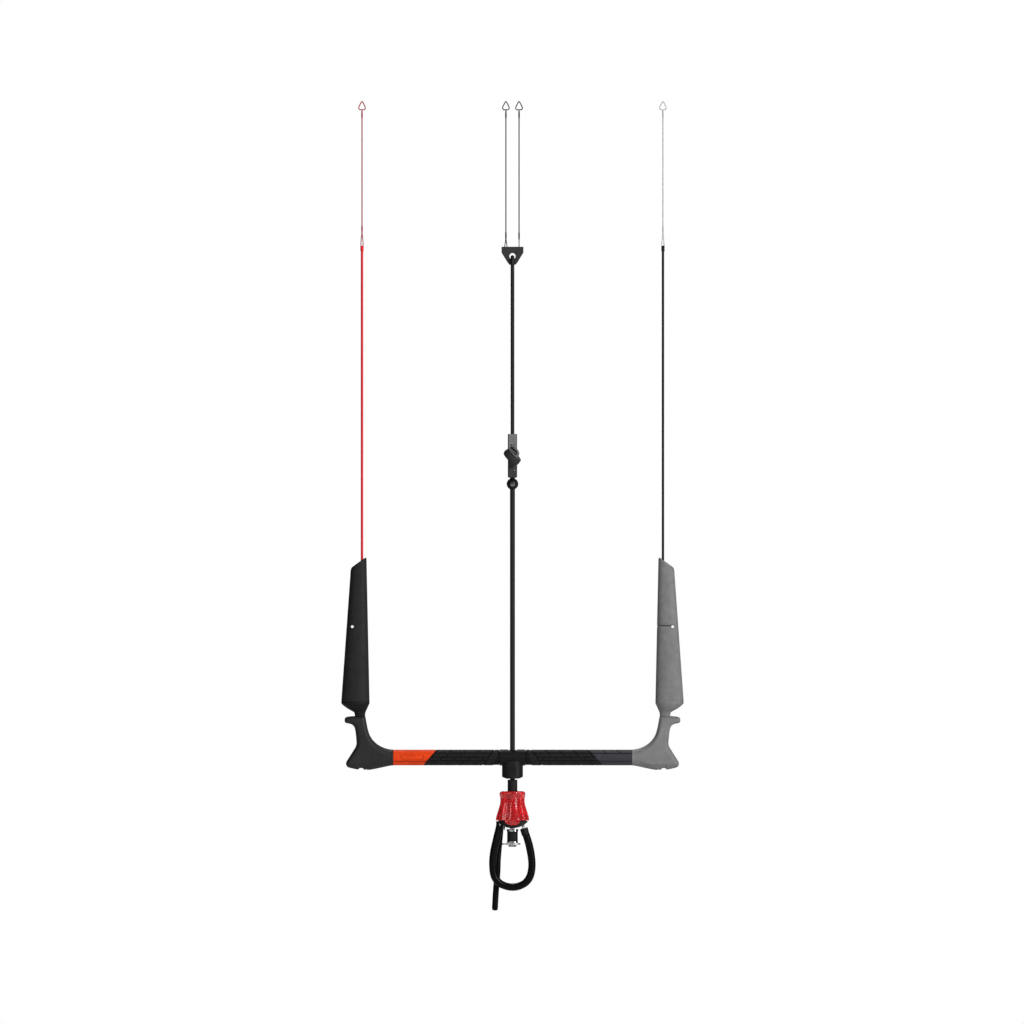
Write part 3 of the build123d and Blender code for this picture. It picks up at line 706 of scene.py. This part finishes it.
def make_bar_ends():
    def half_depth(x, z):
        plan = np.interp(-x, [GRIP_END, 218, 236, 256, 272, 284], [GRIP_R, GRIP_R, 11.4, 9.3, 8.6, 7.6])
        crease = np.interp(-x, [GRIP_END, 231, 284], [210.0, 201.2, 200.6])
        under = 0.62 * np.clip(crease - z, 0, None) * smoothstep(203, 224, -x)
        return plan - 1.6 * smoothstep(255, 282, z) - under

    def rounding(x, z):
        return np.interp(-x, [GRIP_END, 215, 232, 248, 270, 284], [GRIP_R, 12.5, 9.0, 7.6, 6.6, 5.2])

    left = pillowed("bar_end_left_moulding", bar_end_outline(), half_depth, rounding, 1.3)
    right = mirrored(left, "bar_end_right_moulding")
    profile = [(201.75, 12.0), (201.75, 13.2), (202.0, 13.55), (203.4, 13.6), (204.4, 13.45), (205.6, 12.9),
               (205.6, 12.0)]
    for side, sign, colour in (("left", -1, "end_dark"), ("right", 1, "end_grey")):
        lip = from_rings(f"bar_end_{side}_lip", [axis_ring(sign * x, r) for x, r in profile], closed=True)
        finish_piece(lip, "bar", MATERIALS[colour], colour)
    finish_piece(left, "bar", MATERIALS["end_dark"], "end_dark", "bar_end_left")
    finish_piece(right, "bar", MATERIALS["end_grey"], "end_grey", "bar_end_right")


make_bar_ends()


# ---------------------------------------------------------------- floats and boots

def oval_ring(cx, rx, ry, z, sides=64, square=2.0):
    """Level ring, a little squarer than an ellipse where square is over 2; z may be a function of x. Millimetres."""
    ring = []
    for k in range(sides):
        a = 2 * math.pi * k / sides
        c, s = math.cos(a), math.sin(a)
        x = cx + rx * math.copysign(abs(c) ** (2 / square), c)
        y = ry * math.copysign(abs(s) ** (2 / square), s)
        ring.append((x * MM, y * MM, (z(x) if callable(z) else z) * MM))
    return ring


FLOAT_LOW, FLOAT_HIGH = 303.4, 550.0
FLOAT_SQUARE = 2.25               # how much squarer than an ellipse the section is
WALL_LOW, WALL_HIGH = FLOAT_LOW + 4, 519.0
HOLE_X, HOLE_Z, HOLE_R = 270.4, 432.6, 2.3


def float_section(z):
    """Centre x, half width and half depth of the left float at a height."""
    t = (z - FLOAT_LOW) / (FLOAT_HIGH - FLOAT_LOW)
    return -265.2 + 6.2 * t, 24.0 - 11.4 * t, 16.9 - 6.6 * t


def float_roof(x):
    """Height of the slanted top."""
    return 532.0 + 18.0 * min(1.0, max(0.0, (x + 272.6) / 25.0))


def roof_ring(drop, shrink, sides=64):
    """Ring that runs parallel to the slanted top, drop below it and shrink inside the side wall."""
    ring = []
    for k in range(sides):
        z = 541.0
        for _ in range(4):
            cx, rx, ry = float_section(z)
            point = oval_ring(cx, rx - shrink, ry - shrink * 0.8, z, sides, FLOAT_SQUARE)[k]
            z = float_roof(point[0] / MM) - drop
        ring.append((point[0], point[1], z * MM))
    return ring


def float_blank(name):
    """Left float before its hole is cut."""
    rings = []
    for shrink, rise in ((7.0, 0), (3.2, 0.1), (1.2, 0.9), (0.3, 2.2), (0, 4)):
        cx, rx, ry = float_section(FLOAT_LOW + rise)
        rings.append(oval_ring(cx, rx - shrink, ry - shrink, FLOAT_LOW + rise, square=FLOAT_SQUARE))
    for i in range(1, 30):
        z = WALL_LOW + (WALL_HIGH - WALL_LOW) * i / 29
        cx, rx, ry = float_section(z)
        rings.append(oval_ring(cx, rx, ry, z, square=FLOAT_SQUARE))
    edge = ((8.0, 0.0), (4.0, 0.0), (2.2, 0.3), (1.1, 0.8), (0.4, 1.5), (0.1, 2.3), (0.0, 3.4), (0.0, 6.5))
    return from_rings(name, rings + [roof_ring(drop, shrink) for drop, shrink in edge])


def cross_tool(name, radius, x, z, sides):
    """Cutter that runs from front to back through a float."""
    return tube(name, [(x * MM, y * MM, z * MM) for y in (-30, 30)], radius * MM, sides)


def make_floats():
    left = float_blank("float_left_foam")
    right = mirrored(left, "float_right_foam")
    cut(left, cross_tool("bore", HOLE_R, -HOLE_X, HOLE_Z, 24))
    slits = [mesh_object("slit", *box_faces((241.0, 269.5), y, (433.5, 434.7))) for y in ((-30, -7), (7, 30))]
    notch = cross_tool("notch", 2.6, 242.6, 432.8, 4)
    cut(right, cross_tool("bore", HOLE_R, HOLE_X, HOLE_Z, 24), *slits, notch)
    finish_piece(left, "float_left", MATERIALS["float_black"], "eva_black", "float_body_left")
    finish_piece(right, "float_right", MATERIALS["eva_grey"], "eva_grey", "float_body_right")
    for side, sign, colour in (("left", -1, "black_rubber"), ("right", 1, "end_grey")):
        boot = float_boot("float_boot_" + side + "_cuff", sign)
        finish_piece(boot, None, MATERIALS[colour], "black_rubber", "float_boot_" + side)
        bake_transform(boot)


def float_boot(name, side):
    """Soft cuff that narrows from the float to the bar end's stem."""
    profile = [
        (279.0, 257.6, 6.0, 5.0), (281.6, 257.5, 8.3, 6.6), (284.0, 257.4, 8.9, 7.1), (286.4, 257.6, 9.2, 7.3),
        (288.4, 257.9, 9.9, 7.9), (290.4, 259.2, 12.2, 9.4), (292.6, 260.8, 14.7, 11.2), (294.8, 262.1, 17.0, 12.8),
        (297.4, 263.4, 19.4, 14.4), (300.2, 264.4, 21.8, 15.8), (302.4, 265.0, 23.4, 16.7), (303.9, 265.1, 24.0, 17.0),
        (306.4, 265.1, 23.8, 16.7),
    ]
    rings = [oval_ring(side * x, rx, ry, z, 56, 2.2) for z, x, rx, ry in profile]
    return from_rings(name, rings)


def box_faces(x, y, z):
    corners = [(a * MM, b * MM, c * MM) for a in x for b in y for c in z]
    return corners, [(0, 1, 3, 2), (4, 6, 7, 5), (0, 4, 5, 1), (2, 3, 7, 6), (0, 2, 6, 4), (1, 5, 7, 3)]


make_floats()


# ---------------------------------------------------------------- grips

ROWS_AT = (-25.0, 2.5, 35.0)      # lengthwise grooves, as angles up from the front
SLANT = 0.72                      # lean of the blocks: along the bar, per length round the grip
BLOCK_PITCH = 23.6
SEAMS = {"left": (-139.5, 22.0), "right": (-140.3, 23.0)}   # middle, and lean over the grip's height
PANEL = (-169.5, 18.5, 4.4)       # the orange sleeve's blank frame: middle, half length, half height


def grip_surface(name, start, end, groove, radius=GRIP_R, inner=10.6, step=0.6, around=150):
    """Sleeve round the bar's axis from x = start(z) to end(z); groove(x, arc, z) gives its depth. Millimetres."""
    angles = np.linspace(0, 2 * np.pi, around, endpoint=False)
    z = radius * np.sin(angles)
    lift = np.arcsin(np.clip(np.sin(angles), -1, 1))
    first = np.array([start(v) for v in z])
    last = np.array([end(v) for v in z])
    count = int(abs(last - first).mean() / step)
    rings = []

    def ring(x, r):
        return [(px * MM, -pr * math.cos(a) * MM, BAR_AXIS.z + pr * math.sin(a) * MM)
                for px, pr, a in zip(x, r, angles)]

    rings.append(ring(first, np.full(around, inner)))
    edge = 0.7
    for i in range(count + 1):
        share = i / count
        x = first + (last - first) * share
        from_end = min(share, 1 - share) * abs(last - first).mean()
        shrink = edge * (1 - math.sqrt(max(0, 1 - (1 - min(1, from_end / edge)) ** 2)))
        r = radius - shrink - groove(x, radius * lift, z)
        rings.append(ring(x, r))
    rings.append(ring(last, np.full(around, inner)))
    return from_rings(name, rings, closed=True)


def valley(distance, half_width, depth):
    """Rounded groove profile."""
    return depth * (1 - smoothstep(half_width * 0.35, half_width, np.abs(distance)))


def row_grooves(arc, angles, half_width, depth):
    total = np.zeros_like(arc)
    for angle in angles:
        total = np.maximum(total, valley(arc - math.radians(angle) * GRIP_R, half_width, depth))
    return total


def block_grooves(side):
    """Rows of slanted blocks, then one smooth slanted block and a plain recess beside the hub."""
    def groove(x, arc, z):
        along = side * x
        band = np.digitize(arc, [math.radians(a) * GRIP_R for a in ROWS_AT])
        offset = (along + 39.3 - SLANT * (arc - 4.2) + 6.0 * np.maximum(0, 2 - band)) % BLOCK_PITCH
        offset = np.minimum(offset, BLOCK_PITCH - offset)
        depth = np.maximum(row_grooves(arc, ROWS_AT, 1.15, 1.0), valley(offset, 1.15, 1.0))
        outer_edge = along + 31.6 + SLANT * (10.7 - z)
        inner_edge = along + 24.5 + 0.35 * (10.7 - z)
        depth = depth * (1 - smoothstep(-1.9, -1.5, outer_edge))
        depth = np.maximum(depth, valley(outer_edge + 0.9, 1.2, 1.0))
        return np.maximum(depth, 0.7 * smoothstep(-0.5, 0.5, inner_edge))

    return groove


def sleeve_grooves(side, rows, ticks, patch=None):
    """Coloured sleeve: lengthwise grooves, slanted ticks across its top row, and a blank framed patch."""
    def groove(x, arc, z):
        along = side * x
        depth = row_grooves(arc, rows, 0.95, 0.8)
        above = smoothstep(0, 0.6, arc - math.radians(rows[-1]) * GRIP_R)
        for tick in ticks:
            depth = np.maximum(depth, valley(along + tick - SLANT * (arc - 12.0), 1.2, 0.8) * above)
        if patch:
            middle, half_long, half_high = patch
            edge = np.maximum(np.abs(along - middle) - half_long, np.abs(arc) - half_high)
            depth = np.maximum(depth, valley(edge, 0.7, 0.5))
        return depth

    return groove


def mark_grooves(piece, deepest=0.9):
    """Writes how far each point lies below the grip's outer surface, from 0 to 1, as the groove attribute, by which
    the foams paint shade into the grooves.
    """
    marks = piece.data.attributes.new("groove", "FLOAT", "POINT")
    for vertex, mark in zip(piece.data.vertices, marks.data):
        radius = math.hypot(vertex.co.y, vertex.co.z - BAR_AXIS.z) / MM
        mark.value = min(1.0, max(0.0, (GRIP_R - radius - 0.1) / deepest))


def make_grips():
    hub_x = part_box("hub_cover")[1].x / MM
    grip_end = -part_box("grip_sleeve_left")[0].x / MM
    for side, sign in (("left", 1), ("right", -1)):
        middle, lean = SEAMS[side]
        seam = lambda z, m=middle, s=lean, g=sign: g * (m + s * z / (2 * GRIP_R))
        hub_end = lambda z, g=sign: g * (-hub_x - 0.1)
        outer_end = lambda z, g=sign: g * -grip_end
        grip = grip_surface(f"grip_{side}_foam", hub_end, seam, block_grooves(sign))
        if side == "left":
            pattern = sleeve_grooves(sign, (-31.0,), (), PANEL)
        else:
            pattern = sleeve_grooves(sign, (-30.0, 31.0), (154.5, 178.5))
        sleeve = grip_surface(f"grip_sleeve_{side}_foam", seam, outer_end, pattern)
        finish_piece(grip, "bar", MATERIALS["eva_black"], "eva_black", f"grip_{side}")
        mark_grooves(grip)
        colour = "eva_orange" if side == "left" else "eva_slate"
        finish_piece(sleeve, "bar", MATERIALS[colour], colour, f"grip_sleeve_{side}")
        mark_grooves(sleeve, 0.6)


make_grips()


# ---------------------------------------------------------------- chicken loop and locking stick

LOOP_R = 6.35
CUFF_R = 6.75
STICK_R = 5.1
LOOP_LINE = [
    (-20.5, 101.0), (-22.6, 91.0), (-27.4, 72.0), (-31.8, 50.0), (-33.2, 30.0), (-31.0, 12.6), (-23.0, 0.8),
    (-12.0, -5.0), (0.0, -6.9), (12.0, -4.9), (23.0, 1.4), (30.2, 12.8), (32.9, 30.0), (31.0, 50.0),
    (26.2, 71.0), (19.4, 91.2),
]
CUFF_LINE = [(19.0, 92.4), (20.2, 88.6), (21.4, 84.6), (22.4, 81.0)]


def make_loop():
    path = smooth_path([(x * MM, 0, z * MM) for x, z in LOOP_LINE], 10)
    loop = tube("chicken_loop_tube", path, lambda t: (LOOP_R + 0.12 * math.sin(37 * t)) * MM, 28)
    finish_piece(loop, None, MATERIALS["black_tube"], "black_tube", "loop_tube_fixed", "loop_tube_opening")
    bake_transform(loop)
    cuff_path = [(x * MM, 0, z * MM) for x, z in CUFF_LINE]
    cuff = tube("chicken_loop_cuff", smooth_path(cuff_path, 5), lambda t: (CUFF_R - 0.3 * t ** 4) * MM, 28)
    finish_piece(cuff, "loop_gate", MATERIALS["black_rubber"], "black_rubber")


def make_stick():
    """Hanging stick with a round-ended tip."""
    y = joint_pos("stick_swing").y / MM
    spine = [(-20.0, y, 94.0), (-20.8, y, 84.0), (-22.6, y, 64.0), (-24.6, y + 0.2, 40.0), (-25.4, y + 0.3, 18.0),
             (-27.2, y + 0.2, -4.0), (-28.6, y, -24.0), (-29.5, y, -41.4)]
    path = smooth_path([(a * MM, b * MM, c * MM) for a, b, c in spine], 8)
    tip = path[-1]
    down = (path[-1] - path[-2]).normalized()
    ends = [(0.2, 0.999), (0.4, 0.985), (0.6, 0.93), (0.78, 0.83), (0.9, 0.7), (0.97, 0.52), (1.0, 0.28)]
    radii = [STICK_R] * len(path)
    for along, width in ends:
        path.append(tip + down * along * STICK_R * MM)
        radii.append(STICK_R * width)
    stick = tube("locking_stick_tube", path, lambda t: radii[round(t * (len(radii) - 1))] * MM, 24)
    finish_piece(stick, "locking_stick", MATERIALS["black_tube"], "black_tube", "locking_stick")


make_loop()
make_stick()


# ---------------------------------------------------------------- quick release handle and spring

HANDLE_PROFILE = [
    (97.0, 27.4, 19.6), (101.0, 27.9, 20.0), (106.0, 28.2, 20.4), (112.0, 27.4, 20.2), (118.0, 25.6, 19.4),
    (125.0, 23.4, 18.6), (131.0, 21.5, 17.9), (137.0, 20.4, 17.6), (143.0, 20.5, 17.7), (148.0, 21.7, 18.5),
    (151.0, 21.9, 18.6), (153.2, 21.0, 17.9), (154.5, 19.3, 16.4), (155.0, 17.0, 14.4),
]


HANDLE_SIDES = 120
HANDLE_WALL = 2.4
HANDLE_TOP, HANDLE_CEILING = 155.0, 152.2
SKIRT_Z = 105.6
TONGUE_HALF, TONGUE_DROP = 12.0, 8.4
NECK_R = 8.9                      # hole in the handle's top
SPRING_R = 13.0
SPRING_LOW, SPRING_HIGH = 120.6, 145.4
SPRING_TURNS = 5
SPRING_WIRE = 0.6


def handle_ring(z_at, inset):
    """One ring of the handle: an oval with shallow finger flutes that fade out at both ends."""
    heights = [p[0] for p in HANDLE_PROFILE]
    ring = []
    for k in range(HANDLE_SIDES):
        a = 2 * math.pi * k / HANDLE_SIDES
        c, s = math.cos(a), math.sin(a)
        z = z_at(c)
        rx = np.interp(z, heights, [p[1] for p in HANDLE_PROFILE]) - inset
        ry = np.interp(z, heights, [p[2] for p in HANDLE_PROFILE]) - inset
        fade = smoothstep(100, 112, z) * (1 - smoothstep(147, 153, z))
        flute = 1.7 * fade * (0.5 - 0.5 * math.cos(8 * a)) ** 1.3
        power = 2 / 2.3
        x = (rx - flute) * math.copysign(abs(c) ** power, c)
        y = (ry - flute) * math.copysign(abs(s) ** power, s)
        ring.append((x * MM, y * MM, z * MM))
    return ring


def skirt(c):
    """Height of the handle's lower edge: tongues hang at front and back."""
    across = abs(c) * 28.2
    return SKIRT_Z - TONGUE_DROP * math.sqrt(max(0.0, 1 - (across / TONGUE_HALF) ** 2))


def make_handle():
    outer, inner = [], []
    steps = 46
    for i in range(steps + 1):
        t = i / steps
        outer.append(handle_ring(lambda c: skirt(c) + (HANDLE_TOP - skirt(c)) * t, 0))
        inner.append(handle_ring(lambda c: skirt(c) + (HANDLE_CEILING - skirt(c)) * t, HANDLE_WALL))
    turns = [2 * math.pi * k / HANDLE_SIDES for k in range(HANDLE_SIDES)]
    rim = [[(NECK_R * MM * math.cos(a), NECK_R * MM * math.sin(a), z * MM) for a in turns] for z in (154.6, 152.6)]
    handle = from_rings("release_handle_sleeve", outer + rim + inner[::-1], closed=True)
    finish_piece(handle, "release_handle", MATERIALS["red_handle"], "red_handle", "release_handle")


def make_spring():
    """Return spring, which shortens as the handle is pushed up; here a fixed coil that does not follow the handle."""
    low, high, steps = SPRING_LOW * MM, SPRING_HIGH * MM, SPRING_TURNS * 32
    path = []
    for i in range(steps + 1):
        a = 2 * math.pi * i / 32
        z = (SPRING_LOW + (SPRING_HIGH - SPRING_LOW) * i / steps) * MM
        path.append((SPRING_R * MM * math.cos(a), SPRING_R * MM * math.sin(a), z))
    spring = tube("return_spring_coil", path, SPRING_WIRE * MM, 10)
    finish_piece(spring, None, MATERIALS["bright_steel"], "steel", "handle_spring")
    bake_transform(spring)


make_handle()
make_spring()


# ---------------------------------------------------------------- trim rope, tail and toggle

TRIM_ROPE_R = 3.2 * MM
TAIL_R = 2.3 * MM
KNOB_SIDES = 72
KNOB_HALF = (16.0, 10.4)          # half length and half width of the knob


def make_trim_rope():
    """Two strands from the cleat up to the plate, joined by a bend over its edge."""
    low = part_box("trim_rope")[0].z
    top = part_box("trim_rope")[1].z
    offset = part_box("trim_rope")[1].y - TRIM_ROPE_R
    bend_z = top - TRIM_ROPE_R - offset
    levels = [low + (bend_z - low) * i / 40 for i in range(41)]
    bend = [math.pi * i / 16 for i in range(1, 16)]
    path = [(0, -offset, z) for z in levels]
    path += [(0, -offset * math.cos(a), bend_z + offset * math.sin(a)) for a in bend]
    path += [(0, offset, z) for z in reversed(levels)]
    rope_piece = tube("trim_rope_braid", path, TRIM_ROPE_R, 20)
    finish_piece(rope_piece, None, MATERIALS["black_rope"], "black_rope", "trim_rope")
    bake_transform(rope_piece)


TOGGLE = Vector((-0.8, -25.6, 719.0)) * MM
TOGGLE_LEAN = Matrix.Rotation(math.radians(12), 4, Vector((1, 0, -1)))
TOGGLE_PLACE = Matrix.Translation(TOGGLE) @ TOGGLE_LEAN @ Matrix.Rotation(math.radians(45), 4, "Y")


def make_toggle():
    """Chunky knob across the rope: a ribbed rim and a cupped face up to the right, with a pale ring on its lip as a
    painted highlight.
    """
    profile = [
        (-7.2, 0.0), (-7.2, 0.45), (-7.0, 0.72), (-6.0, 0.88), (-4.2, 0.96), (-1.5, 1.0), (1.4, 1.0), (2.6, 0.975),
        (3.1, 0.93), (3.7, 0.93), (4.2, 0.965), (5.8, 0.95), (6.8, 0.9), (7.2, 0.83), (7.0, 0.76), (5.8, 0.72),
        (3.9, 0.7), (2.9, 0.66), (2.6, 0.45), (2.6, 0.0),
    ]
    turns = [2 * math.pi * k / KNOB_SIDES for k in range(KNOB_SIDES)]
    rings = []
    for height, share in profile:
        ring = []
        for a in turns:
            rib = 0.5 * max(0, math.cos(22 * a)) if -4.5 < height < 1.6 else 0
            rx, ry = ((half - rib) * max(share, 0.001) for half in KNOB_HALF)
            ring.append(Vector((rx * math.cos(a), ry * math.sin(a), height)) * MM)
        rings.append(ring)
    toggle = from_rings("trim_toggle_knob", rings)
    ribs = []
    for i, (y, length) in enumerate(((-2.9, 6.2), (0.0, 7.6), (2.9, 6.2))):
        ends = [(x * MM, y * MM, 3.4 * MM) for x in (-length, length)]
        ribs.append(tube(f"trim_toggle_rib_{i}", ends, 0.9 * MM, 10))
    # Pale ring along the cup's lip: a painted highlight, not a part of the knob.
    edge = [(12.9 * MM * math.cos(a), 8.4 * MM * math.sin(a), 7.0 * MM) for a in turns]
    painted_highlight_ring = tube("trim_toggle_painted_highlight", edge, 0.8 * MM, 8, closed=True)
    for piece in (toggle, painted_highlight_ring, *ribs):
        piece.data.transform(TOGGLE_PLACE)
        material = MATERIALS["knob_painted_highlight" if piece == painted_highlight_ring else "knob_rubber"]
        finish_piece(piece, "trim_toggle", material, "black_rubber")
    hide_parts("trim_toggle")


def make_toggle_tail():
    """Rope from the jaws round behind the knob and in at its far side."""
    spine = [(0, -6.6, 737), (0.6, -7.4, 735), (3.2, -10.0, 733.4), (6.6, -13.2, 730.6), (8.8, -15.8, 727.0),
             (9.2, -18.2, 723.4), (7.2, -20.6, 720.4), (4.0, -22.4, 719.0)]
    path = smooth_path([Vector(p) * MM for p in spine], 10)
    tail = tube("trim_toggle_tail", path, TAIL_R, 16)
    # The tail's grey material is a painted highlight; the rope itself is black.
    finish_piece(tail, None, MATERIALS["tail_rope"], "black_rope", "toggle_tail")
    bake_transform(tail)


make_trim_rope()
make_toggle()
make_toggle_tail()


# ---------------------------------------------------------------- CAD pieces that show as they are

def dress(node, material, width=0.0):
    piece = frame["nodes"][node]
    piece.data.materials.clear()
    piece.data.materials.append(material)
    if width:
        rounded_edges(piece, width * MM)


def dress_cad_nodes():
    """Materials by record slot, then the pieces whose look differs from their slot's."""
    slots = {row["node"]: row["material_slot"] for row in frame["record"]["subparts"]}
    bevels = {"cleat_body": 0.5, "cleat_cover": 0.6, "hub_collar": 0.5, "collar_bumper": 0.7, "hub_cover": 0.3,
              "trim_plate": 0.7, "swivel_barrel": 0.3, "barrel_rims": 0.25, "leash_plate": 0.4, "swivel_nut": 0.3,
              "spindle": 0.4, "release_base": 0.6, "core_cap": 0.4, "stick_bracket": 0.4, "loop_pin": 0.3}
    for node, slot in slots.items():
        if not frame["nodes"][node].hide_render:
            dress(node, MATERIALS[slot], bevels.get(node, 0))
    dress("barrel_rims", MATERIALS["bright_steel"], 0.25)
    dress("ball_screw", MATERIALS["bright_steel"], 0.2)
    for node in ("hub_cover", "hub_insert_upper", "hub_insert_lower"):
        dress(node, MATERIALS["hub_plastic"])
    dress("cleat_cover", MATERIALS["cover_plastic"], 0.5)
    dress("trim_plate", MATERIALS["plate_plastic"], 1.1)
    dress("loop_pin", MATERIALS["bright_steel"], 0.3)


dress_cad_nodes()
